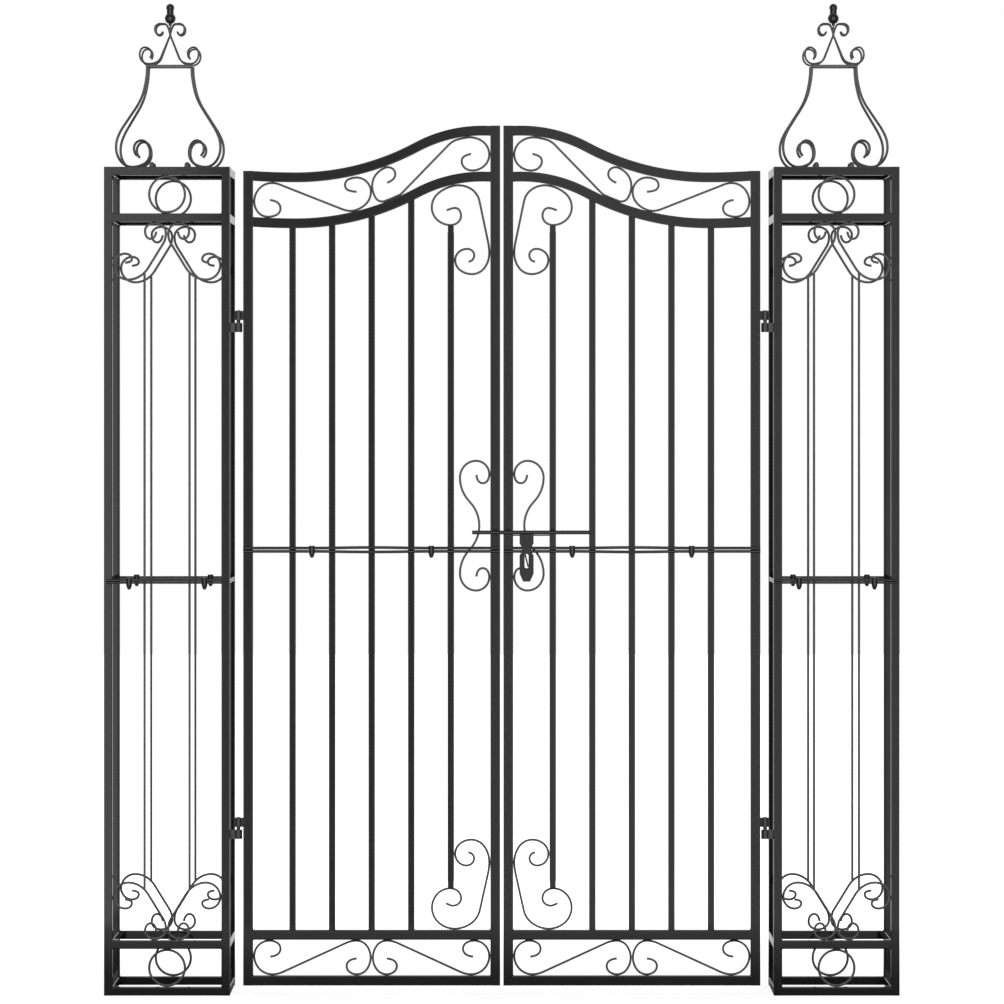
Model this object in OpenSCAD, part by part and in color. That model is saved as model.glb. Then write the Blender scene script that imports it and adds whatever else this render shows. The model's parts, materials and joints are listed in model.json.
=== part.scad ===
// Double-leaf ornamental garden gate between two square openwork pillars.
// Millimetres, +Z up, front towards -Y. The origin is on the underside of the
// left pillar's front bottom rail, in the middle of that rail.

/* [Pillars] */
// Width and depth of a pillar over its tubes
pillar_w = 193; // [170:0.5:230]
// Height of a pillar without its finial
pillar_h = 1271; // [1150:1:1400]
// Square tube of the pillar frames
tube = 13; // [10:0.5:16]
// Clear height between the paired rails at the head and foot
rail_gap = 58.5; // [50:0.5:70]
// Round wire of the pillar scrolls
pillar_wire = 3.7; // [3:0.1:5]
// Height of the middle band of twin rods
pillar_band_z = 635; // [560:1:700]
// Round rods of that band
pillar_rod = 3.5; // [3:0.1:4.5]
// Rounding of the edges of square tubes and bars
edge_r = 1.5; // [0.5:0.1:2.5]

/* [Leaves] */
// Width of one leaf
leaf_w = 394; // [380:1:420]
// Square tube of the leaf frames
leaf_tube = 15; // [13:0.5:16]
// Gap under a leaf
leaf_foot = 15.5; // [10:0.5:30]
// Clear height between the two lower rails of a leaf
leaf_gap = 55; // [50:0.5:60]
// Height of the crest of a leaf, at the meeting stile
crest_z = 1334; // [1300:1:1360]
// Fall of the top rail from its crest to its trough
crest_fall = 71.7; // [60:0.1:80]
// Radius of the top rail's crest
crest_r = 220; // [200:1:260]
// Square upright bars of a leaf
bar = 10; // [8:0.5:12]
// Round wire of the leaf scrolls
leaf_wire = 3.4; // [2.6:0.1:4]
// Height of the middle band of twin rods
leaf_band_z = 683.8; // [650:0.1:720]
// Round rods of that band
leaf_rod = 4.5; // [3.5:0.1:5]

/* [Hinges and latch] */
// Gap between a pillar and its leaf
hinge_gap = 20.5; // [19:0.5:24]
// Gap where the leaves meet
meet_gap = 5; // [4:0.5:8]
// Diameter of a hinge barrel
barrel = 12; // [10:0.5:12]
// Diameter of a hinge pin
pin = 6; // [5:0.5:7]
// Heights of the two hinges, at the foot of each pillar knuckle
hinge_z = [240, 1017.5];
// Diameter of the sliding bolt
bolt_d = 6; // [5:0.5:7]
// Length of the sliding bolt
bolt_len = 180; // [160:1:200]
// Height of the sliding bolt
bolt_z = 710.3; // [700:0.1:720]

/* [Finials] */
// Round wire of the finials' legs
leg_wire = 4; // [3.4:0.1:4.6]
// Round wire of the finials' crowns
crown_wire = 3.1; // [2.6:0.1:3.6]
// Height of the ring between the finial's legs and crown, over the pillar
ring_h = 159; // [155:0.5:165]
// Angle between a finial's scrolls and the front
finial_turn = 35; // [30:1:45]

/* [Hidden] */
$fn = 48;
hair = 0.01;
FRAME = "#3a3a3c";
SCROLL = "#454547";
IRON = "#2e2e30";

gate_x = pillar_w / 2 + hinge_gap + leaf_w + meet_gap / 2;
back_y = pillar_w - tube;
post_x = pillar_w / 2 - tube / 2;
bay = pillar_w - 2 * tube;
foot_top = 2 * tube + rail_gap;
head_bottom = pillar_h - 2 * tube - rail_gap;
leaf_y = (leaf_tube - tube) / 2;
leaf_front = -leaf_tube / 2;
opening = leaf_w - 2 * leaf_tube;
bar_pitch = opening / 6;
foot_rail_top = leaf_foot + 2 * leaf_tube + leaf_gap;
crest_u = 27.5;
trough_u = 0.795 * leaf_w;
tail_r = 1000;
rail_drop = 70.5;
trough_r = (pow(trough_u - crest_u, 2) + pow(crest_fall, 2)) / (2 * crest_fall) - crest_r;
trough_z = crest_z - crest_fall;
crest_c = [crest_u, crest_z - crest_r];
trough_c = [trough_u, trough_z + trough_r];
tail_c = [trough_u, trough_z + tail_r];
lean = atan2(trough_u - crest_u, trough_c[1] - crest_c[1]);
second = [0, -rail_drop];
short_bar_z = [165.8, 1180];
plug = 10;
bar_y = leaf_front + bar / 2;
cutter_half = leaf_tube / 2 - 0.7;
short_bar_u = leaf_tube + bar_pitch;
axis_x = 13;
knuckle = 14;
knuckle_gap = 4.5;
lens_bow = 0.9;
leaf_pair = 2.55;
pillar_pair = 1.8;
ring_t = 3;
ring_reach = 42;
lock_u = 35.5;
lyre_z = 720.5;

// ---- bent wire ----------------------------------------------------------
// A wire is a list of [x, z, heading] in its own upright plane. Two arcs join
// each pair of points, tangent to both headings. "to" and "from" mark the two
// ends of a straight stretch, which takes its heading from them.

function dir(a) = [cos(a), sin(a)];
function aim(p, q) = atan2(q[1] - p[1], q[0] - p[0]);
function spot(p) = [p[0], p[1]];
function wrap(a) = a - 360 * round(a / 360);
function heading(path, i) =
    path[i][2] == "to" ? aim(path[i], path[i + 1])
    : path[i][2] == "from" ? aim(path[i - 1], path[i])
    : path[i][2];

// where the two arcs from p to q meet
function knee(p, q, a, b) =
    let (
        v = q - p,
        t = dir(a) + dir(b),
        k = 2 * (1 - dir(a) * dir(b)),
        reach = k < 0.0001
            ? (v * v) / (4 * (v * dir(b)))
            : (sqrt(pow(v * t, 2) + k * (v * v)) - v * t) / k
    )
    (p + q + reach * (dir(a) - dir(b))) / 2;

// Stretches of a wire as [start, heading, end, joined to the one before]
function steps(path) =
    let (closed = norm(spot(path[0]) - spot(path[len(path) - 1])) < 0.001)
    [
        for (i = [0 : len(path) - 2])
            let (
                p = spot(path[i]),
                q = spot(path[i + 1]),
                a = heading(path, i),
                b = heading(path, i + 1),
                m = knee(p, q, a, b),
                one = path[i][2] == "to" || abs(wrap(2 * aim(p, q) - a - b)) < 0.05,
                joined = i > 0 || closed
            )
            each (one
                ? [[p, a, q, joined]]
                : [[p, a, m, joined], [m, 2 * aim(p, m) - a, q, true]])
    ];

// the same wire on the other side of x = 0, and upside down
function flipped(path) = [for (p = path) [-p[0], p[1], is_num(p[2]) ? 180 - p[2] : p[2]]];
function upturned(path) = [for (p = path) [p[0], -p[1], is_num(p[2]) ? -p[2] : p[2]]];
function moved(path, x, z) = [for (p = path) [p[0] + x, p[1] + z, p[2]]];

// One arc or straight from p to q, leaving p with heading a. Neighbours stop
// a hair short of each other and a core pin joins them.
module bend(p, a, q, d) {
    t = dir(a);
    c = q - p;
    k = t[0] * c[1] - t[1] * c[0];
    sweep = 2 * atan2(k, t * c);
    if (abs(sweep) < 0.02)
        translate([p[0], 0, p[1]])
            rotate([0, 90 - a, 0])
                translate([0, 0, hair])
                    cylinder(h = norm(c) - 2 * hair, d = d);
    else {
        r = (c * c) / (2 * k);
        trim = asin(hair / abs(r));
        translate([p[0] - r * t[1], 0, p[1] + r * t[0]])
            rotate([90, 0, 0])
                mirror([0, 0, 1])
                    rotate([0, 0, a - sign(r) * 90 + min(sweep, 0) + trim])
                        rotate_extrude(angle = abs(sweep) - 2 * trim)
                            translate([abs(r), 0])
                                circle(d = d);
    }
}

module core(p, a, d) {
    translate([p[0], 0, p[1]])
        rotate([0, 90 - a, 0])
            cylinder(h = 1, d = 0.7 * d, center = true);
}

// All the wires of one piece
module wires(paths, d) {
    for (path = paths, s = steps(path)) {
        bend(s[0], s[1], s[2], d);
        if (s[3])
            core(s[0], s[1], d);
    }
}

module both(axis) {
    children();
    mirror(axis)
        children();
}

// ---- placing --------------------------------------------------------------
module on_right() {
    translate([2 * gate_x, 0, 0])
        mirror([1, 0, 0])
            children();
}

// In a leaf's own frame x runs from its meeting edge to its hinge edge.
module right_leaf() {
    translate([gate_x + meet_gap / 2, leaf_y, 0])
        children();
}

module left_leaf() {
    on_right()
        right_leaf()
            children();
}

module at_back() {
    translate([0, back_y, 0])
        children();
}

module box(x0, x1, y0, y1, z0, z1) {
    translate([x0, y0, z0])
        cube([x1 - x0, y1 - y0, z1 - z0]);
}

// Outline of square tube or bar with rounded edges
module square_section(size, r = edge_r) {
    flat = size - 2 * r;
    square([size, flat], center = true);
    square([flat, size], center = true);
    for (x = [-flat / 2, flat / 2], y = [-flat / 2, flat / 2])
        translate([x, y])
            circle(r);
}

// Upright tube from z0 to z1
module post(x, y, z0, z1, size) {
    translate([x, y, z0])
        linear_extrude(z1 - z0)
            square_section(size);
}

// Level tube from x0 to x1
module rail(x0, x1, z, size) {
    translate([x0, 0, z])
        rotate([90, 0, 90])
            linear_extrude(x1 - x0)
                square_section(size);
}

// Tube bent about c, with its middle line at r, from angle a0 to a1. Bends
// that follow one another are joined by a core, as wires are.
module bent_tube(c, r, a0, a1, size) {
    trim = asin(hair / r);
    translate([c[0], 0, c[1]])
        rotate([90, 0, 0])
            mirror([0, 0, 1])
                rotate([0, 0, a0 + trim])
                    rotate_extrude(angle = a1 - a0 - 2 * trim, $fn = 360)
                        translate([r, 0])
                            square_section(size);
}

module tube_core(c, r, a, size) {
    translate([c[0] + r * cos(a), 0, c[1] + r * sin(a)])
        rotate([0, -a, 0])
            cube([0.7 * size, 0.7 * size, 1], center = true);
}

// upright profile in x and z, as deep as y0 to y1
module slab(y0, y1) {
    translate([0, y1, 0])
        rotate([90, 0, 0])
            linear_extrude(y1 - y0)
                children();
}

// ---- pillar ---------------------------------------------------------------
module pillar_frame() {
    half = tube / 2;
    color(FRAME) {
        for (x = [-post_x, post_x])
            post(x, 0, 0, pillar_h, tube);
        for (z = [half, foot_top - half, head_bottom + half, pillar_h - half])
            rail(-post_x, post_x, z, tube);
    }
}

// Rails between the two frames, coped to their rounded edges
module pillar_side_rails() {
    color(FRAME)
        difference() {
            for (x = [-post_x, post_x], z = [0, foot_top - tube, head_bottom, pillar_h - tube])
                translate([x, 0, z + tube / 2])
                    rotate([0, 0, 90])
                        rail(tube / 2 - edge_r, back_y - tube / 2 + edge_r, 0, tube);
            pillar_frame();
            at_back()
                pillar_frame();
        }
}

// One of the four scrolls of a pillar panel, measured from the rail it hangs on
function pillar_scroll() =
    let (d = pillar_wire, wall = (bay - d) / 2)
    [
        [-16.1, -14.7, 300],
        [-25.6, -25.2, 180],
        [-33.2, -14, 90],
        [-18.5, -d / 2, 0],
        [-d / 2 - 0.02, -22, 270],
        [-6.5, -45, "to"],
        [-38, -77, "from"],
        [-59.5, -88.5, 180],
        [-wall, -66.5, 90],
        [-64.5, -48.9, 0],
        [-53, -58, 270],
        [-63.5, -64, 180]
    ];

module pillar_scrolls() {
    r = rail_gap / 2 - pillar_wire / 2;
    ring = [[r, 0, 90], [-r, 0, 270], [r, 0, 90]];
    rod_x = 34.5;
    rod_end = 73.5;
    side = [
        moved(pillar_scroll(), 0, head_bottom),
        moved(upturned(pillar_scroll()), 0, foot_top),
        [[-rod_x, foot_top + rod_end, "to"], [-rod_x, head_bottom - rod_end, "from"]]
    ];
    color(SCROLL)
        wires([
            moved(ring, 0, tube + rail_gap / 2),
            moved(ring, 0, pillar_h - tube - rail_gap / 2),
            for (path = side) each [path, flipped(path)]
        ], pillar_wire);
}

// Turned drop that clasps a pair of rods
module collar() {
    rotate_extrude()
        polygon([[0, -12.6], [1.6, -12.2], [2.8, -11], [4.5, -6], [4.5, 5.6], [4, 6.1], [0, 6.1]]);
}

module collars(places) {
    for (x = places)
        translate([x, 0, 0])
            collar();
}

module pillar_band() {
    face = (tube + pillar_rod) / 2;
    side_face = (pillar_w - pillar_rod) / 2;
    x0 = 4 - pillar_w / 2;
    x1 = pillar_w / 2 - 0.5;
    color(IRON)
        translate([0, 0, pillar_band_z]) {
            for (z = [-pillar_pair, pillar_pair]) {
                for (y = [-face, back_y + face])
                    translate([x0, y, z])
                        rotate([0, 90, 0])
                            cylinder(h = x1 - x0, d = pillar_rod);
                for (x = [-side_face, side_face])
                    translate([x, tube / 2, z])
                        rotate([-90, 0, 0])
                            cylinder(h = back_y - tube, d = pillar_rod);
            }
            for (y = [-face, back_y + face])
                translate([0, y, 0])
                    collars([-57.8, 57.8]);
        }
}

module pillar_hinges() {
    color(IRON)
        for (z = hinge_z)
            translate([pillar_w / 2 + axis_x, leaf_y, z]) {
                cylinder(h = knuckle, d = barrel);
                cylinder(h = 2 * knuckle + knuckle_gap + 1, d = pin);
                box(-axis_x, 0, -3, 3, 0, knuckle);
            }
}

// ---- finial ---------------------------------------------------------------
module finial() {
    translate([0, back_y / 2, pillar_h])
        children();
}

module four_ways() {
    for (a = [finial_turn, 180 - finial_turn, 180 + finial_turn, -finial_turn])
        rotate([0, 0, a])
            children();
}

module finial_base() {
    strip = 16;
    color(IRON)
        finial()
            translate([0, 0, -3])
                linear_extrude(3)
                    intersection() {
                        union()
                            for (a = [finial_turn, -finial_turn])
                                rotate(a)
                                    square([2 * bay, strip], center = true);
                        square(bay, center = true);
                    }
}

module finial_legs() {
    color(SCROLL)
        finial()
            four_ways()
                wires([[
                    [ring_reach, ring_h - ring_t / 2, 270],
                    [48.1, 119.7, 287],
                    [63.1, 91.9, "to"],
                    [84.7, 64, "from"],
                    [98.1, 31.5, 270],
                    [70, leg_wire / 2, 180],
                    [36.8, 24.7, 90],
                    [52, 43.3, 0],
                    [65.8, 30.5, 270],
                    [60.3, 19.8, 215]
                ]], leg_wire);
}

module finial_ring() {
    across = 2 * ring_reach * [cos(finial_turn), sin(finial_turn)];
    color(SCROLL)
        finial()
            translate([0, 0, ring_h - ring_t / 2])
                linear_extrude(ring_t)
                    difference() {
                        square(across + [leg_wire, leg_wire], center = true);
                        square(across - [leg_wire, leg_wire], center = true);
                    }
}

module finial_crown() {
    foot = ring_h + (ring_t + crown_wire) / 2;
    color(SCROLL)
        finial() {
            four_ways()
                wires([[
                    [36.5, 171.1, 115],
                    [34.2, 178.1, 90],
                    [45.9, 187.3, 0],
                    [55.5, 175.9, 270],
                    [40.5, foot, 180],
                    [16.6, 173.4, "to"],
                    [1.5, 204.8, "from"]
                ], [
                    [1.2, 211.5, 80],
                    [5.7, 222.1, 55],
                    [17.3, 224.9, 0],
                    [27.9, 216.3, 270],
                    [20.4, 207.6, 180],
                    [14.4, 213.1, 80]
                ]], crown_wire);
            translate([0, 0, 203])
                cylinder(h = 14.5, r = 2);
        }
}

module finial_knob() {
    color(IRON)
        finial()
            rotate_extrude()
                intersection() {
                    union() {
                        translate([0, 233.5])
                            circle(8.5);
                        translate([0, 250.1])
                            circle(6.3);
                        translate([-5.4, 238])
                            square([10.8, 9]);
                        translate([-2.6, 222.3])
                            square([5.2, 5]);
                        translate([-1.2, 217.5])
                            square([2.4, 10.5]);
                    }
                    translate([0, 200])
                        square([20, 60]);
                }
}

// ---- leaf -----------------------------------------------------------------
module leaf_meeting_stile() {
    color(FRAME)
        post(leaf_tube / 2, 0, leaf_foot, crest_z, leaf_tube);
}

module leaf_hinge_stile() {
    color(FRAME)
        post(leaf_w - leaf_tube / 2, 0, leaf_foot, trough_z + 2.3, leaf_tube);
}

// What copes a curved rail to the stile at x. It is a little squarer than the
// stile, and cuts away the feather edge that a plain cope would leave.
module stile_cutter(x) {
    translate([x, 0, leaf_foot])
        linear_extrude(crest_z - leaf_foot)
            square_section(leaf_tube, edge_r - 0.1);
    box(x - cutter_half, x + cutter_half, -leaf_tube, leaf_tube, leaf_foot, crest_z);
}

// The top rail's crest arc, trough arc and long shallow tail
module ogee_tube() {
    half = leaf_tube / 2;
    cope = leaf_tube - edge_r;
    start = asin((crest_u - cope) / (crest_r - half));
    end = asin((leaf_w - cope - trough_u) / (tail_r + half));
    difference() {
        bent_tube(crest_c, crest_r - half, 90 - lean, 90 + start, leaf_tube);
        stile_cutter(half);
    }
    tube_core(crest_c, crest_r - half, 90 - lean, leaf_tube);
    bent_tube(trough_c, trough_r + half, 270 - lean, 270, leaf_tube);
    tube_core(tail_c, tail_r + half, 270, leaf_tube);
    difference() {
        bent_tube(tail_c, tail_r + half, 270, 270 + end, leaf_tube);
        stile_cutter(leaf_w - half);
    }
}

module leaf_top_rails() {
    color(FRAME)
        for (z = [0, -rail_drop])
            translate([0, 0, z])
                ogee_tube();
}

module leaf_bottom_rails() {
    x0 = leaf_tube - edge_r;
    color(FRAME)
        difference() {
            for (z = [leaf_foot + leaf_tube / 2, foot_rail_top - leaf_tube / 2])
                rail(x0, leaf_w - x0, z, leaf_tube);
            leaf_meeting_stile();
            leaf_hinge_stile();
        }
}

// What lies over the underside of the second rail, from the crest's end on
module over_second_rail() {
    slab(-leaf_tube, leaf_tube)
        translate(second) {
            intersection() {
                translate(trough_c)
                    circle(trough_r + leaf_tube, $fn = 720);
                square([trough_u, crest_z + 100]);
            }
            intersection() {
                translate(tail_c)
                    circle(tail_r + leaf_tube, $fn = 720);
                translate([trough_u, 0])
                    square([leaf_w, crest_z + 100]);
            }
        }
}

module leaf_bars() {
    color(FRAME) {
        difference() {
            for (i = [2 : 5])
                post(leaf_tube + i * bar_pitch, bar_y, foot_rail_top, crest_z - rail_drop, bar);
            over_second_rail();
        }
        post(short_bar_u, bar_y, short_bar_z[0] + plug, short_bar_z[1] - plug, bar);
        post(short_bar_u, bar_y, short_bar_z[0], short_bar_z[1], bar - 0.8);
    }
}

// A point at x on an arc about c, with the arc's own slope. The arc is over
// its centre where r is positive and under it where r is negative.
function on_arc(c, r, x, turn = 0) =
    let (a = asin((x - c[0]) / r))
    [x, c[1] + r * cos(a), turn - a];

module leaf_top_scrolls() {
    d = leaf_wire;
    near = d / 2 + 0.03;
    u0 = leaf_tube + d / 2;
    u1 = leaf_w - leaf_tube - d / 2;
    under_crest = on_arc(crest_c, crest_r - leaf_tube - near, 49.6);
    under_tail = on_arc(tail_c, -(tail_r + leaf_tube + near), 349.2);
    under_trough = on_arc(trough_c, -(trough_r + leaf_tube + near), 176, 180);
    on_second = [for (x = [156.5, 176.7, 224]) on_arc(trough_c + second, near - trough_r, x)];
    on_tail = on_arc(tail_c + second, near - tail_r, 357.2, 180);
    color(SCROLL)
        wires([[
            [44.4, 1290.9, 350],
            [59, 1279.9, 270],
            [43, 1265.4, 180],
            [u0, 1289.9, 90],
            under_crest,
            [79, 1304.7, "to"],
            [150, 1231.5, "from"],
            on_second[0],
            on_second[1],
            [196.3, 1242.1, 90],
            under_trough,
            [160.9, 1259.9, 270],
            [173.4, 1246.6, 340]
        ], [
            [220.1, 1232.9, 0],
            [238, 1243.1, 90],
            [220.1, 1254.6, 180],
            [198.3, 1232.5, 270],
            on_second[2],
            [243.6, 1206.6, "to"],
            [328, 1239.8, "from"],
            under_tail,
            [u1, 1217.7, 270],
            on_tail,
            [337, 1207.3, 90],
            [353.2, 1219.9, 0]
        ]], d);
}

module leaf_bottom_scrolls() {
    d = leaf_wire;
    low = leaf_tube + d / 2;
    high = low + leaf_gap - d;
    half = [
        [155.8, 44, 180],
        [140, 56, 90],
        [157, high, 0],
        [opening / 2 - d / 2, 45, 270],
        [152.5, low, 180],
        [136, 20.5, "to"],
        [40, 64.5, "from"],
        [23, high, 180],
        [d / 2 + 0.02, 42.5, 270],
        [23, low, 0],
        [38.5, 29.5, 90],
        [23, 40.8, 180]
    ];
    color(SCROLL)
        translate([leaf_w / 2, 0, leaf_foot])
            wires([half, flipped(half)], d);
}

module leaf_edge_scrolls() {
    d = leaf_wire;
    near = d / 2 + 0.03;
    wall = leaf_tube + d / 2;
    bar_side = short_bar_u - bar / 2 - d / 2;
    above = short_bar_z[1] + d / 2;
    below = short_bar_z[0] - d / 2;
    upper = [
        [82.1, 1204.3, 160],
        [69.1, 1207.9, 180],
        [60, 1196.1, 270],
        [76.1, above, 0],
        [104.9, 1209, 90],
        on_arc(crest_c + second, crest_r - leaf_tube - near, 72, 180),
        [31.7, 1218.5, "to"],
        [18.6, 1156, "from"],
        [wall, 1138, 270],
        [43.3, 1106.4, 0],
        [bar_side, 1128, 90],
        [50.4, 1145.2, 180],
        [39.8, 1135.2, 270],
        [48.7, 1125.7, 0]
    ];
    lyre = [
        [36.3, 78, 270],
        [26.6, 65.2, 180],
        [wall, 78.9, 90],
        [37, 99.5, 0],
        [61.7, 73.6, 270],
        [32, 0, 270],
        [61.7, -73.6, 270],
        [37, -99.5, 180],
        [wall, -78.9, 90],
        [26.6, -65.2, 0],
        [36.3, -78, 270]
    ];
    lower = [
        [83.2, 141.1, 200],
        [72.3, 137.5, 180],
        [59.9, 149, 90],
        [76.4, below, 0],
        [104.6, 134.8, 270],
        [70, foot_rail_top + d / 2, 180],
        [31.2, 130.6, "to"],
        [18.6, 187, "from"],
        [wall, 205, 90],
        [44.5, 238.8, 0],
        [bar_side, 217, 270],
        [51.8, 199.1, 180],
        [40, 210, 90],
        [49, 219.1, 0]
    ];
    color(SCROLL)
        wires([upper, moved(lyre, 0, lyre_z), lower], d);
}

// Rods that bow apart between their collars
module leaf_band() {
    middle = leaf_w / 2;
    collar_u = 91.5;
    upper = [
        [0, leaf_pair, 0],
        [middle - collar_u, leaf_pair, 0],
        [middle, leaf_pair + lens_bow, 0],
        [middle + collar_u, leaf_pair, 0],
        [leaf_w, leaf_pair, 0]
    ];
    color(IRON)
        translate([0, leaf_front - leaf_rod / 2, leaf_band_z]) {
            wires([upper, upturned(upper)], leaf_rod);
            collars([middle - collar_u, middle + collar_u]);
        }
}

module leaf_knuckles() {
    edge = hinge_gap - axis_x;
    color(IRON)
        for (z = hinge_z)
            translate([leaf_w + edge, 0, z + knuckle + knuckle_gap])
                difference() {
                    union() {
                        cylinder(h = knuckle, d = barrel);
                        box(-edge, 0, -3, 3, 0, knuckle);
                    }
                    translate([0, 0, -1])
                        cylinder(h = knuckle + 2, d = pin + 0.1);
                }
}

// ---- latch ----------------------------------------------------------------
bolt_y = leaf_front - 0.3 - bolt_d / 2;

// Hook that holds the bolt from above and in front, 5 wide, centred on x
module bolt_hook(x) {
    inner = bolt_d / 2 + 0.8;
    outer = inner + 2;
    start = 60;
    translate([x - 2.5, bolt_y, bolt_z])
        rotate([90, 0, 90])
            linear_extrude(5) {
                intersection() {
                    difference() {
                        circle(outer);
                        circle(inner);
                    }
                    polygon([[0, 0], 20 * dir(start), 20 * dir(110), 20 * dir(160)]);
                }
                translate([leaf_front - bolt_y - 2, inner + 0.1])
                    square([2, 7]);
            }
}

// Eye for a padlock. It hangs from the band's rods, leaning a little.
module padlock_eye() {
    difference() {
        translate([lock_u - 2.9, leaf_front, leaf_band_z - leaf_pair - leaf_rod / 2])
            rotate([0, -14, 0])
                difference() {
                    box(-1.2, 1.2, -leaf_rod, -leaf_front - 2, -22, 1);
                    translate([-2, 0.6, -13])
                        rotate([0, 90, 0])
                            cylinder(h = 4, d = 6);
                }
        box(0, 2 * lock_u, leaf_front - leaf_tube, 0, leaf_band_z - leaf_pair - leaf_rod / 2,
            leaf_band_z);
    }
}

module bolt_guides() {
    shelf_top = bolt_z - bolt_d / 2 - 0.3;
    color(IRON) {
        bolt_hook(leaf_tube / 2 - 0.5);
        bolt_hook(short_bar_u);
        box(0, short_bar_u + bar / 2, leaf_front - 3.8, leaf_front, shelf_top - 2, shelf_top);
        padlock_eye();
    }
}

module bolt_keeper() {
    color(IRON)
        bolt_hook(leaf_tube / 2 - 0.5);
}

module sliding_bolt() {
    color(IRON)
        translate([-48, bolt_y, bolt_z])
            rotate([0, 90, 0])
                cylinder(h = bolt_len, d = bolt_d);
}

module lock_hasp() {
    top = bolt_z - 2.8;
    y1 = leaf_front - leaf_rod - 0.6;
    right = [
        [10.8, 0],
        [10.8, -14],
        [7.2, -20],
        [7.2, -27],
        [10.8, -32],
        [10.8, -60],
        [5.4, -72.5]
    ];
    left = [for (i = [len(right) - 1 : -1 : 0]) [-right[i][0], right[i][1]]];
    color(IRON)
        translate([lock_u, 0, top])
            slab(y1 - 2.5, y1)
                difference() {
                    polygon(concat(right, left));
                    translate([0, -49])
                        circle(3);
                    translate([0, -33])
                        circle(3);
                    translate([-3, -49])
                        square([6, 16]);
                }
}

// ---- the whole gate ---------------------------------------------------------
pillar_frame();  // left_pillar_front_frame
at_back() pillar_frame();  // left_pillar_back_frame
pillar_side_rails();  // left_pillar_side_rails
pillar_scrolls();  // left_pillar_front_scrolls
at_back() pillar_scrolls();  // left_pillar_back_scrolls
pillar_band();  // left_pillar_band
pillar_hinges();  // left_pillar_hinges
finial_base();  // left_finial_base
finial_legs();  // left_finial_legs
finial_ring();  // left_finial_ring
finial_crown();  // left_finial_crown
finial_knob();  // left_finial_knob
on_right() pillar_frame();  // right_pillar_front_frame
on_right() at_back() pillar_frame();  // right_pillar_back_frame
on_right() pillar_side_rails();  // right_pillar_side_rails
on_right() pillar_scrolls();  // right_pillar_front_scrolls
on_right() at_back() pillar_scrolls();  // right_pillar_back_scrolls
on_right() pillar_band();  // right_pillar_band
on_right() pillar_hinges();  // right_pillar_hinges
on_right() finial_base();  // right_finial_base
on_right() finial_legs();  // right_finial_legs
on_right() finial_ring();  // right_finial_ring
on_right() finial_crown();  // right_finial_crown
on_right() finial_knob();  // right_finial_knob
left_leaf() leaf_meeting_stile();  // left_leaf_meeting_stile
left_leaf() leaf_hinge_stile();  // left_leaf_hinge_stile
left_leaf() leaf_top_rails();  // left_leaf_top_rails
left_leaf() leaf_bottom_rails();  // left_leaf_bottom_rails
left_leaf() leaf_bars();  // left_leaf_bars
left_leaf() leaf_top_scrolls();  // left_leaf_top_scrolls
left_leaf() leaf_bottom_scrolls();  // left_leaf_bottom_scrolls
left_leaf() leaf_edge_scrolls();  // left_leaf_edge_scrolls
left_leaf() leaf_band();  // left_leaf_band
left_leaf() leaf_knuckles();  // left_leaf_knuckles
left_leaf() bolt_keeper();
right_leaf() leaf_meeting_stile();  // right_leaf_meeting_stile
right_leaf() leaf_hinge_stile();  // right_leaf_hinge_stile
right_leaf() leaf_top_rails();  // right_leaf_top_rails
right_leaf() leaf_bottom_rails();  // right_leaf_bottom_rails
right_leaf() leaf_bars();  // right_leaf_bars
right_leaf() leaf_top_scrolls();  // right_leaf_top_scrolls
right_leaf() leaf_bottom_scrolls();  // right_leaf_bottom_scrolls
right_leaf() leaf_edge_scrolls();  // right_leaf_edge_scrolls
right_leaf() leaf_band();  // right_leaf_band
right_leaf() leaf_knuckles();  // right_leaf_knuckles
right_leaf() bolt_guides();
right_leaf() sliding_bolt();
right_leaf() lock_hasp();
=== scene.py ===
import json
import math

import bmesh
import bpy
from mathutils import Matrix, Vector


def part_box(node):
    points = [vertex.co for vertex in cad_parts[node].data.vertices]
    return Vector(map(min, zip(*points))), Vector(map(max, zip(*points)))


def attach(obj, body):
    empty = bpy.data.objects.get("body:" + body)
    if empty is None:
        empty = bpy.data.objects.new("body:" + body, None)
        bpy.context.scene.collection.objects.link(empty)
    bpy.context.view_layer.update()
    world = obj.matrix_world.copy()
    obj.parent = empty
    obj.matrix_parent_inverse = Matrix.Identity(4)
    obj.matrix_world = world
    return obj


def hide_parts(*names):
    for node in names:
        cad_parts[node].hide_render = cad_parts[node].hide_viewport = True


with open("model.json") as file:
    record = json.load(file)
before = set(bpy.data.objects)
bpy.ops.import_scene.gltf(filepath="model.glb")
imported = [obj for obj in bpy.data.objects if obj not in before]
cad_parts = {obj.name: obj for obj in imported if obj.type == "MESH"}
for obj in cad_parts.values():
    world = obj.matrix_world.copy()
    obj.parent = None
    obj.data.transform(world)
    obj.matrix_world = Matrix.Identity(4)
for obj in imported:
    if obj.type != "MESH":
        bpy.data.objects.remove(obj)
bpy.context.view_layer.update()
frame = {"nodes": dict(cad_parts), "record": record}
nodes = frame["nodes"]
print("frame loaded:", len(nodes), "nodes")

# where the gate stands, all in metres
leftFoot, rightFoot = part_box("left_pillar_front_frame"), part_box("right_pillar_front_frame")
gateMiddle = (leftFoot[0].x + rightFoot[1].x) / 2
frontFace = leftFoot[0].y
pillarTop = leftFoot[1].z


# ---- shader helpers

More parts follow.
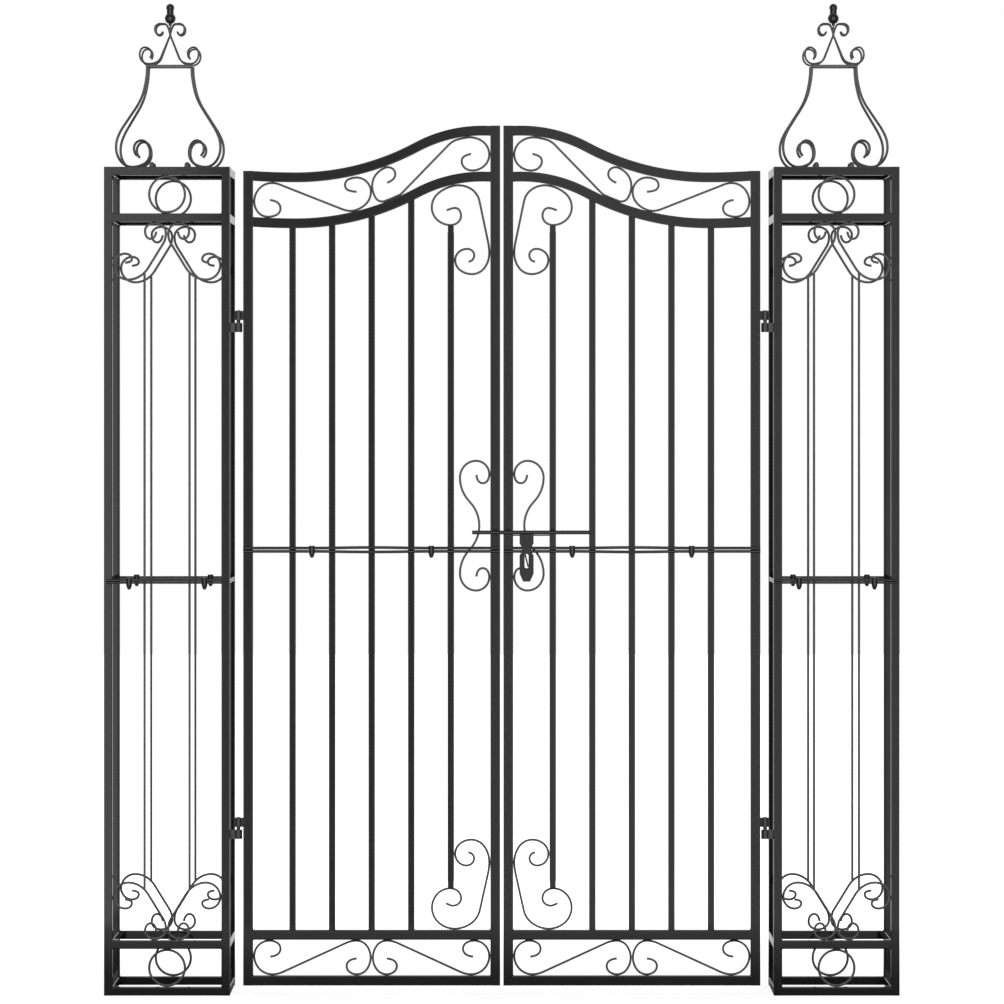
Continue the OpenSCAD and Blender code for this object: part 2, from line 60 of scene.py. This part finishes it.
class Socket:
    # an output of a node; arithmetic on it adds Math nodes
    def __init__(self, paint, output):
        self.paint, self.output = paint, output

    def maths(self, operation, *values):
        return self.paint.node("ShaderNodeMath", {"operation": operation},
                               dict(enumerate(values)))

    def __add__(self, other):
        return self.maths("ADD", self, other)

    def __radd__(self, other):
        return self.maths("ADD", other, self)

    def __sub__(self, other):
        return self.maths("SUBTRACT", self, other)

    def __rsub__(self, other):
        return self.maths("SUBTRACT", other, self)

    def __mul__(self, other):
        return self.maths("MULTIPLY", self, other)

    def __rmul__(self, other):
        return self.maths("MULTIPLY", other, self)

    def __truediv__(self, other):
        return self.maths("DIVIDE", self, other)

    def __abs__(self):
        return self.maths("ABSOLUTE", self)

    def most(self, other):
        return self.maths("MAXIMUM", self, other)

    # 0 below low, 1 above high
    def between(self, low, high):
        return self.paint.node("ShaderNodeMapRange", {"interpolation_type": "SMOOTHSTEP"},
                               {"Value": self, "From Min": low, "From Max": high})


class Paint:
    # a node tree being filled
    def __init__(self, tree):
        self.tree = tree
        tree.nodes.clear()

    def node(self, kind, settings=None, values=None, output=0):
        made = self.tree.nodes.new(kind)
        for name, value in (settings or {}).items():
            setattr(made, name, value)
        for name, value in (values or {}).items():
            if isinstance(value, Socket):
                self.tree.links.new(value.output, made.inputs[name])
            else:
                made.inputs[name].default_value = value
        return Socket(self, made.outputs[output]) if len(made.outputs) else None

    def blendColour(self, amount, first, second):
        return self.node("ShaderNodeMix", {"data_type": "RGBA"},
                         {0: amount, 6: first, 7: second}, 2)

    def lumps(self, where, size, detail=2.0, roughness=0.5):
        return self.node("ShaderNodeTexNoise", None,
                         {"Vector": where, "Scale": 1 / size, "Detail": detail,
                          "Roughness": roughness})


def newPaint(name):
    material = bpy.data.materials.new(name)
    material.use_nodes = True
    return material, Paint(material.node_tree)


def grey(level, tint=0.0):
    return (level, level, level * (1 + tint), 1)


# ---- the black coat

# the four coats are copies of one black powder coat whose base colours are set apart as painted
# light and shade: the wire coat is about ten times lighter than the tube coat, the hinge and
# fitting coats in between
coat = {
    "tubeCoat": {"dark": 0.0040, "light": 0.0065, "gloss": 0.045, "glossSpread": 0.02,
                 "peel": 0.0022, "peelHeight": 0.000004, "speck": 0.0005, "shine": 0.5},
    "wireCoat": {"dark": 0.036, "light": 0.054, "gloss": 0.16, "glossSpread": 0.06,
                 "peel": 0.0016, "peelHeight": 0.000006, "speck": 0.0004, "shine": 0.5},
    "fittingCoat": {"dark": 0.006, "light": 0.010, "gloss": 0.14, "glossSpread": 0.06,
                    "peel": 0.0018, "peelHeight": 0.000008, "speck": 0.0004, "shine": 0.5},
    "hingeCoat": {"dark": 0.014, "light": 0.022, "gloss": 0.34, "glossSpread": 0.08,
                  "peel": 0.0018, "peelHeight": 0.000012, "speck": 0.0004, "shine": 0.5},
}


cloudSize = {"broad": 0.09, "fine": 0.012}


def blackCoat(name):
    v = coat[name]
    material, p = newPaint(name)
    place = p.node("ShaderNodeTexCoord", output=3)
    broad = p.lumps(place, cloudSize["broad"], 3.0)     # where the powder lay thicker
    cloud = p.lumps(place, cloudSize["fine"], 2.0)
    peel = p.lumps(place, v["peel"], 1.0)       # orange peel
    speck = p.lumps(place, v["speck"], 1.0)
    tone = (broad * 0.6 + cloud * 0.25 + speck * 0.15).between(0.35, 0.65)
    colour = p.blendColour(tone, grey(v["dark"], 0.04), grey(v["light"], 0.02))
    gloss = v["gloss"] + v["glossSpread"] * (cloud * 0.5 + broad * 0.5 - 0.5) + 0.01 * speck
    bump = p.node("ShaderNodeBump", None,
                  {"Strength": 0.35, "Distance": v["peelHeight"], "Height": peel + speck * 0.2})
    shader = p.node("ShaderNodeBsdfPrincipled", None,
                    {"Base Color": colour, "Roughness": gloss, "Normal": bump,
                     "Specular IOR Level": v["shine"]})
    p.node("ShaderNodeOutputMaterial", None, {"Surface": shader})
    return material


coats = {name: blackCoat(name) for name in coat}
slotCoat = {"tube_coat": "tubeCoat", "wire_coat": "wireCoat", "fitting_coat": "fittingCoat"}
for part in frame["record"]["subparts"]:
    mesh = nodes[part["node"]].data
    hinge = part["node"].endswith(("_hinges", "_knuckles"))
    mesh.materials.clear()
    mesh.materials.append(coats["hingeCoat" if hinge else slotCoat[part["material_slot"]]])
print("coat laid on", len(nodes), "nodes")


# ---- small fasteners

def keep(bm, name, body, finish):
    # turns a finished bmesh into a piece that rides on a body
    mesh = bpy.data.meshes.new(name)
    bmesh.ops.remove_doubles(bm, verts=bm.verts, dist=0.000005)
    bmesh.ops.recalc_face_normals(bm, faces=bm.faces)
    bm.to_mesh(mesh)
    bm.free()
    mesh.materials.append(coats[finish])
    piece = bpy.data.objects.new(name, mesh)
    bpy.context.scene.collection.objects.link(piece)
    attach(piece, body)
    return piece


def spun(bm, profile, place, sides=24):
    # turns an outline of (radius, height) about an upright axis at place
    ring = [bm.verts.new((radius, 0, height)) for radius, height in profile]
    edges = [bm.edges.new(pair) for pair in zip(ring, ring[1:])]
    turned = bmesh.ops.spin(bm, geom=ring + edges, cent=(0, 0, 0), axis=(0, 0, 1),
                            angle=math.tau, steps=sides, use_merge=True)
    made = {v for g in turned["geom_last"] + ring + edges
            for v in (g.verts if hasattr(g, "verts") else [g])}
    grown = set(made)
    while made:
        made = {e.other_vert(v) for v in made for e in v.link_edges} - grown
        grown |= made
    bmesh.ops.transform(bm, matrix=place, verts=list(grown))


finialNut = {"across": 0.0088, "waist": 0.0066, "height": 0.0105, "reach": 0.033,
             "turn": math.radians(35), "flatShare": 0.8, "domeShare": 0.2, "domeWidth": 0.46,
             "corner": 0.0004, "sunk": 0.0005}


def nutAt(bm, x, y, z, turn):
    # hexagon that narrows upwards, its corners broken and its top domed
    v = finialNut
    flats = v["height"] * v["flatShare"]
    place = Matrix.Translation((x, y, z + flats / 2)) @ Matrix.Rotation(turn, 4, "Z")
    hexagon = bmesh.ops.create_cone(bm, cap_ends=True, segments=6,
                                    radius1=v["across"] / math.sqrt(3),
                                    radius2=v["waist"] / math.sqrt(3),
                                    depth=flats, matrix=place)
    edges = {e for vert in hexagon["verts"] for e in vert.link_edges}
    bmesh.ops.bevel(bm, geom=list(edges), offset=v["corner"], affect="EDGES", segments=2,
                    profile=0.5, material=-1)
    dome, rise = v["waist"] * v["domeWidth"], v["height"] * v["domeShare"]
    outline = [(dome, -v["sunk"])]
    outline += [(dome * math.cos(t), rise * math.sin(t))
                for t in (math.radians(a) for a in range(0, 90, 15))]
    outline += [(0, rise)]
    spun(bm, outline, Matrix.Translation((x, y, z + flats)))


for side in ("left", "right"):
    bm = bmesh.new()
    low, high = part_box(side + "_finial_base")
    middle = (low + high) / 2
    for turn in (finialNut["turn"], math.pi - finialNut["turn"],
                 math.pi + finialNut["turn"], -finialNut["turn"]):
        nutAt(bm, middle.x + finialNut["reach"] * math.cos(turn),
              middle.y + finialNut["reach"] * math.sin(turn), high.z, turn)
    keep(bm, side + "_finial_nuts", "pillars", "fittingCoat")
print("finial nuts made")


# ---- welds

weld = {"radius": 0.0010, "pitch": 0.0017, "foot": 0.1, "crown": 0.55, "footWidth": 0.8}


def weldRun(bm, start, end):
    # drops of weld laid one over the next, from start to end
    along = Vector(end) - Vector(start)
    drops = max(2, round(along.length / weld["pitch"]))
    step = along.length / drops
    outline = [(0, 0)]
    for drop in range(drops):
        outline += [(weld["radius"] * weld["footWidth"], (drop + weld["foot"]) * step),
                    (weld["radius"], (drop + weld["crown"]) * step)]
    outline += [(0, along.length)]
    place = Matrix.Translation(start) @ along.to_track_quat("Z", "Y").to_matrix().to_4x4()
    spun(bm, outline, place, sides=10)


tube = {"pillar": 0.013, "leaf": 0.015, "pillarGap": 0.0585, "leafGap": 0.055,
        "barFlat": 0.007, "corner": 0.0015, "slack": 0.0001}
knuckle = {"height": 0.014, "nextHinge": 0.7775, "weldsApart": 0.006}


def cornerWelds(bm, x0, x1, y0, y1, heights):
    # short beads in the inner corners where level tubes meet posts at x0 and x1
    for x in (x0, x1):
        for z in heights:
            weldRun(bm, (x, y0 + tube["corner"], z), (x, y1 - tube["corner"], z))


for side in ("left", "right"):
    for face in ("front", "back"):
        bm = bmesh.new()
        low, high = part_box(f"{side}_pillar_{face}_frame")
        t, gap = tube["pillar"], tube["pillarGap"]
        cornerWelds(bm, low.x + t, high.x - t, low.y, high.y,
                    [t, t + gap, 2 * t + gap, high.z - t, high.z - t - gap,
                     high.z - 2 * t - gap])
        keep(bm, f"{side}_pillar_{face}_welds", "pillars", "tubeCoat")
    bm = bmesh.new()
    low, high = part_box(side + "_leaf_bottom_rails")
    t, gap = tube["leaf"], tube["leafGap"]
    inside = tube["corner"]
    cornerWelds(bm, low.x + inside, high.x - inside, low.y, high.y,
                [low.z + t, low.z + t + gap, high.z])
    bars = [v.co for v in nodes[side + "_leaf_bars"].data.vertices]
    foot = min(v.z for v in bars)
    feet = sorted({round(v.x, 4) for v in bars if v.z < foot + tube["slack"]})
    back = max(v.y for v in bars)
    for first, second in zip(feet, feet[1:]):
        # only the flat between a bar's rounded edges
        if abs(second - first - tube["barFlat"]) < 5 * tube["slack"]:
            weldRun(bm, (first, back, foot), (second, back, foot))
    keep(bm, side + "_leaf_welds", side + "_leaf", "tubeCoat")
    for name, body in (("pillar_hinges", "pillars"), ("leaf_knuckles", side + "_leaf")):
        bm = bmesh.new()
        low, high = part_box(f"{side}_{name}")
        inward = 1 if (side == "left") == (name == "pillar_hinges") else -1
        x = low.x if inward > 0 else high.x
        middleDepth = (low.y + high.y) / 2
        for z in (low.z, low.z + knuckle["nextHinge"]):
            for y in (middleDepth - knuckle["weldsApart"] / 2,
                      middleDepth + knuckle["weldsApart"] / 2):
                weldRun(bm, (x, y, z), (x, y, z + knuckle["height"]))
        keep(bm, f"{side}_{name}_welds", body, "hingeCoat")
print("welds laid")


# ---- scrolls, rings and rods of the pillars' faces

pillarWire = {"radius": 0.00185, "rodAt": 0.0345, "rodEnd": 0.0768, "ringRadius": 0.0274,
              "ringMiddle": 0.04225, "panelInset": 0.0845, "endHandle": 0.001}
# one scroll from its small curl to its large one: across and down from the
# middle of the panel's head, and the heading in degrees, all in millimetres
pillarScroll = [
    (-16.6, -14.8, 262), (-25.2, -26.0, 180), (-33.8, -14.2, 90), (-19.2, -1.85, 0),
    (-1.9, -17.0, 270), (-5.6, -32.6, 238.3), (-29.0, -70.5, 238.3), (-59.5, -88.5, 180),
    (-81.6, -66.5, 90), (-64.5, -48.7, 0), (-54.0, -56.8, 270), (-64.6, -62.6, 186),
]


def wireRun(curve, points, place, closed=False):
    # a wire through points, along their headings and near to arcs between them
    spline = curve.splines.new("BEZIER")
    spline.bezier_points.add(len(points) - 1)
    spline.use_cyclic_u = closed
    at = [Vector((x, 0, z)) / 1000 for x, z, heading in points]
    along = [Vector((math.cos(t), 0, math.sin(t)))
             for t in (math.radians(point[2]) for point in points)]

    def reach(first, second):
        # length of the handles that makes the stretch between two points an arc
        gap = at[second] - at[first]
        bend = (along[first].angle(gap) + along[second].angle(gap)) / 4
        return gap.length / (3 * math.cos(bend) ** 2)

    for i, knot in enumerate(spline.bezier_points):
        knot.handle_left_type = knot.handle_right_type = "FREE"
        before = after = pillarWire["endHandle"]
        if i or closed:
            before = reach(i - 1, i)
        if i + 1 < len(points) or closed:
            after = reach(i, (i + 1) % len(points))
        knot.co = place @ at[i]
        knot.handle_left = place @ (at[i] - along[i] * before)
        knot.handle_right = place @ (at[i] + along[i] * after)


for side in ("left", "right"):
    for face in ("front", "back"):
        node = f"{side}_pillar_{face}_scrolls"
        v = pillarWire
        low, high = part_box(node)
        middle = (low + high) / 2
        curve = bpy.data.curves.new(node + "_wires", "CURVE")
        curve.dimensions, curve.resolution_u = "3D", 12
        curve.bevel_depth, curve.bevel_resolution, curve.use_fill_caps = v["radius"], 4, True
        head = pillarTop - v["panelInset"]
        foot = v["panelInset"]
        for hand in (1, -1):
            for end, upright in ((head, 1), (foot, -1)):
                place = (Matrix.Translation((middle.x, middle.y, end))
                         @ Matrix.Diagonal((hand, 1, upright, 1)))
                wireRun(curve, pillarScroll, place)
            x = middle.x + hand * v["rodAt"]
            rod = curve.splines.new("POLY")
            rod.points.add(1)
            rod.points[0].co = (x, middle.y, head - v["rodEnd"], 1)
            rod.points[1].co = (x, middle.y, foot + v["rodEnd"], 1)
        r = v["ringRadius"] * 1000
        for z in (v["ringMiddle"], pillarTop - v["ringMiddle"]):
            wireRun(curve, [(r, 0, 90), (0, r, 180), (-r, 0, 270), (0, -r, 0)],
                    Matrix.Translation((middle.x, middle.y, z)), closed=True)
        curve.materials.append(coats["wireCoat"])
        piece = bpy.data.objects.new(node + "_wires", curve)
        bpy.context.scene.collection.objects.link(piece)
        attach(piece, "pillars")
        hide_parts(node)
print("pillar scrolls drawn")


# ---- round stems that hold the bolt's hooks

hookStem = {"radius": 0.0013, "length": 0.0068, "below": 0.0005, "hookTop": 0.001,
            "guideAt": 0.007, "farGuideAt": 0.005}

for name, body in (("bolt_keeper", "left_leaf"), ("bolt_guides", "right_leaf")):
    bm = bmesh.new()
    low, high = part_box(name)
    v = hookStem
    middles = [(low.x + high.x) / 2]
    if name == "bolt_guides":
        middles = [low.x + v["guideAt"], high.x - v["farGuideAt"]]
    # straight side, then a domed head
    outline = [(0, 0), (v["radius"], 0), (v["radius"], v["length"] - v["radius"])]
    outline += [(v["radius"] * math.cos(t), v["length"] - v["radius"] * (1 - math.sin(t)))
                for t in (math.radians(a) for a in (30, 60))] + [(0, v["length"])]
    face = min(c.co.y for c in nodes[name].data.vertices if c.co.z > high.z - v["hookTop"])
    for x in middles:
        spun(bm, outline, Matrix.Translation((x, face, high.z - v["below"] - v["length"])), 16)
    keep(bm, name + "_stems", body, "fittingCoat")
print("hook stems made")


# ---- studio

studio = {
    "cameraHeight": 0.8745, "cameraAside": 0.00035, "distance": 9.4, "viewWidth": 1.5392,
    "middleHeight": 0.7569, "worldLevel": 0.75,
    "floorLeft": -14, "floorRight": 15, "floorFront": -1.3, "floorBack": 14, "floorGlow": 0.86,
    # the floor's own levels are painted shade, darkest at the gate's feet
    "floorShadeAtGate": 0.2, "floorFar": 0.6, "floorBehind": 0.85,
    "nearFrom": -0.05, "behindFrom": 0.3, "behindTo": 1.5,
}
softboxes = {
    "key": {"place": (-2.4, -3.4, 3.2), "size": 1.8, "power": 120},
    "fill": {"place": (2.8, -3.0, 2.0), "size": 2.2, "power": 60},
}


def stagePlane(name, corners, material):
    bm = bmesh.new()
    bm.faces.new([bm.verts.new(c) for c in corners])
    mesh = bpy.data.meshes.new(name)
    bm.to_mesh(mesh)
    bm.free()
    mesh.materials.append(material)
    plane = bpy.data.objects.new(name, mesh)
    bpy.context.scene.collection.objects.link(plane)
    return plane


def floorPaint():
    # pale paper with painted shade, darkest around the gate's feet, that shows white to the
    # camera
    material, p = newPaint("paleFloor")
    seen = p.node("ShaderNodeLightPath")
    place = p.node("ShaderNodeTexCoord", output=3)
    depth = Socket(p, p.node("ShaderNodeSeparateXYZ", None, {0: place}).output.node.outputs[1])
    # painted shade: the floor's colour is darkest at the gate's feet, paler towards its front
    # edge and paler still behind the gate
    towards = 1 - depth.between(studio["floorFront"], studio["nearFrom"])
    ahead = studio["floorShadeAtGate"] + towards * (studio["floorFar"] - studio["floorShadeAtGate"])
    beyond = depth.between(studio["behindFrom"], studio["behindTo"])
    level = ahead + beyond * (studio["floorBehind"] - studio["floorShadeAtGate"])
    tone = p.node("ShaderNodeCombineColor", None, {0: level, 1: level, 2: level})
    plain = p.node("ShaderNodeBsdfDiffuse", None, {"Color": tone})
    glow = p.node("ShaderNodeEmission", None,
                  {"Color": grey(1.0), "Strength": studio["floorGlow"] * seen})
    both = p.node("ShaderNodeAddShader", None, {0: plain, 1: glow})
    p.node("ShaderNodeOutputMaterial", None, {"Surface": both})
    return material


stagePlane("floor", [(studio["floorLeft"], studio["floorFront"], 0),
                     (studio["floorRight"], studio["floorFront"], 0),
                     (studio["floorRight"], studio["floorBack"], 0),
                     (studio["floorLeft"], studio["floorBack"], 0)], floorPaint())

world = bpy.data.worlds.new("studio")
bpy.context.scene.world = world
world.use_nodes = True
p = Paint(world.node_tree)
# what the coat reflects: three cards round the camera, softboxes, the room and
# the wall behind the gate; edges are slopes seen from the gate
cards = {
    "left": 1.52, "middle": 0.47, "right": 0.92, "softboxes": 2.2, "room": 0.15, "behind": 0.65,
    "leftEdge": -0.0485, "leftBlend": 0.0005, "rightEdge": -0.0045, "rightBlend": 0.002,
    "cardsHalf": 0.11, "cardsBlend": 0.02, "softboxesHalf": 0.55, "softboxesBlend": 0.1,
    "behindBlend": 0.05,
}
direction = p.node("ShaderNodeTexCoord", output=0)
parts = p.node("ShaderNodeSeparateXYZ", None, {"Vector": direction}).output.node.outputs
across, depth, rise = (Socket(p, parts[i]) for i in range(3))
ahead = (depth * -1).most(0.001)        # never zero, for the divisions
slant = across / ahead
tilt = rise / ahead
behind = depth.between(-cards["behindBlend"], cards["behindBlend"])
offAxis = abs(slant).most(abs(tilt))
nearCards = 1 - offAxis.between(cards["cardsHalf"], cards["cardsHalf"] + cards["cardsBlend"])
nearBoxes = 1 - offAxis.between(cards["softboxesHalf"],
                                cards["softboxesHalf"] + cards["softboxesBlend"])
leftCard = 1 - slant.between(cards["leftEdge"] - cards["leftBlend"],
                             cards["leftEdge"] + cards["leftBlend"])
rightCard = slant.between(cards["rightEdge"] - cards["rightBlend"],
                          cards["rightEdge"] + cards["rightBlend"])
shownCards = (cards["middle"] + leftCard * (cards["left"] - cards["middle"])
              + rightCard * (cards["right"] - cards["middle"]))
around = cards["room"] + nearBoxes * (cards["softboxes"] - cards["room"])
front = around + nearCards * (shownCards - around)
level = front * (1 - behind) + behind * cards["behind"]
path = p.node("ShaderNodeLightPath")
glossy = Socket(p, path.output.node.outputs["Is Glossy Ray"])
lit = studio["worldLevel"] * (1 - glossy) + level * glossy
shown = lit * (1 - path) + path
background = p.node("ShaderNodeBackground", None, {"Color": grey(1.0), "Strength": shown})
p.node("ShaderNodeOutputWorld", None, {"Surface": background})

aim = Vector((gateMiddle, 0, 0.7))
for name, v in softboxes.items():
    lamp = bpy.data.lights.new(name, "AREA")
    lamp.shape, lamp.size, lamp.energy = "SQUARE", v["size"], v["power"]
    light = bpy.data.objects.new(name, lamp)
    light.location = Vector(v["place"]) + Vector((gateMiddle, 0, 0))
    light.rotation_euler = (aim - light.location).to_track_quat("-Z", "Y").to_euler()
    light.visible_glossy = False
    bpy.context.scene.collection.objects.link(light)

camera = bpy.data.cameras.new("camera")
camera.lens = camera.sensor_width * studio["distance"] / studio["viewWidth"]
camera.clip_end = 60
eye = bpy.data.objects.new("camera", camera)
eye.location = (gateMiddle + studio["cameraAside"], frontFace - studio["distance"],
                studio["cameraHeight"])
eye.rotation_euler = (math.pi / 2, 0, 0)
camera.shift_y = (studio["middleHeight"] - studio["cameraHeight"]) / studio["viewWidth"]
bpy.context.scene.collection.objects.link(eye)
bpy.context.scene.camera = eye
bpy.context.scene.view_settings.view_transform = "Standard"
print("studio ready")
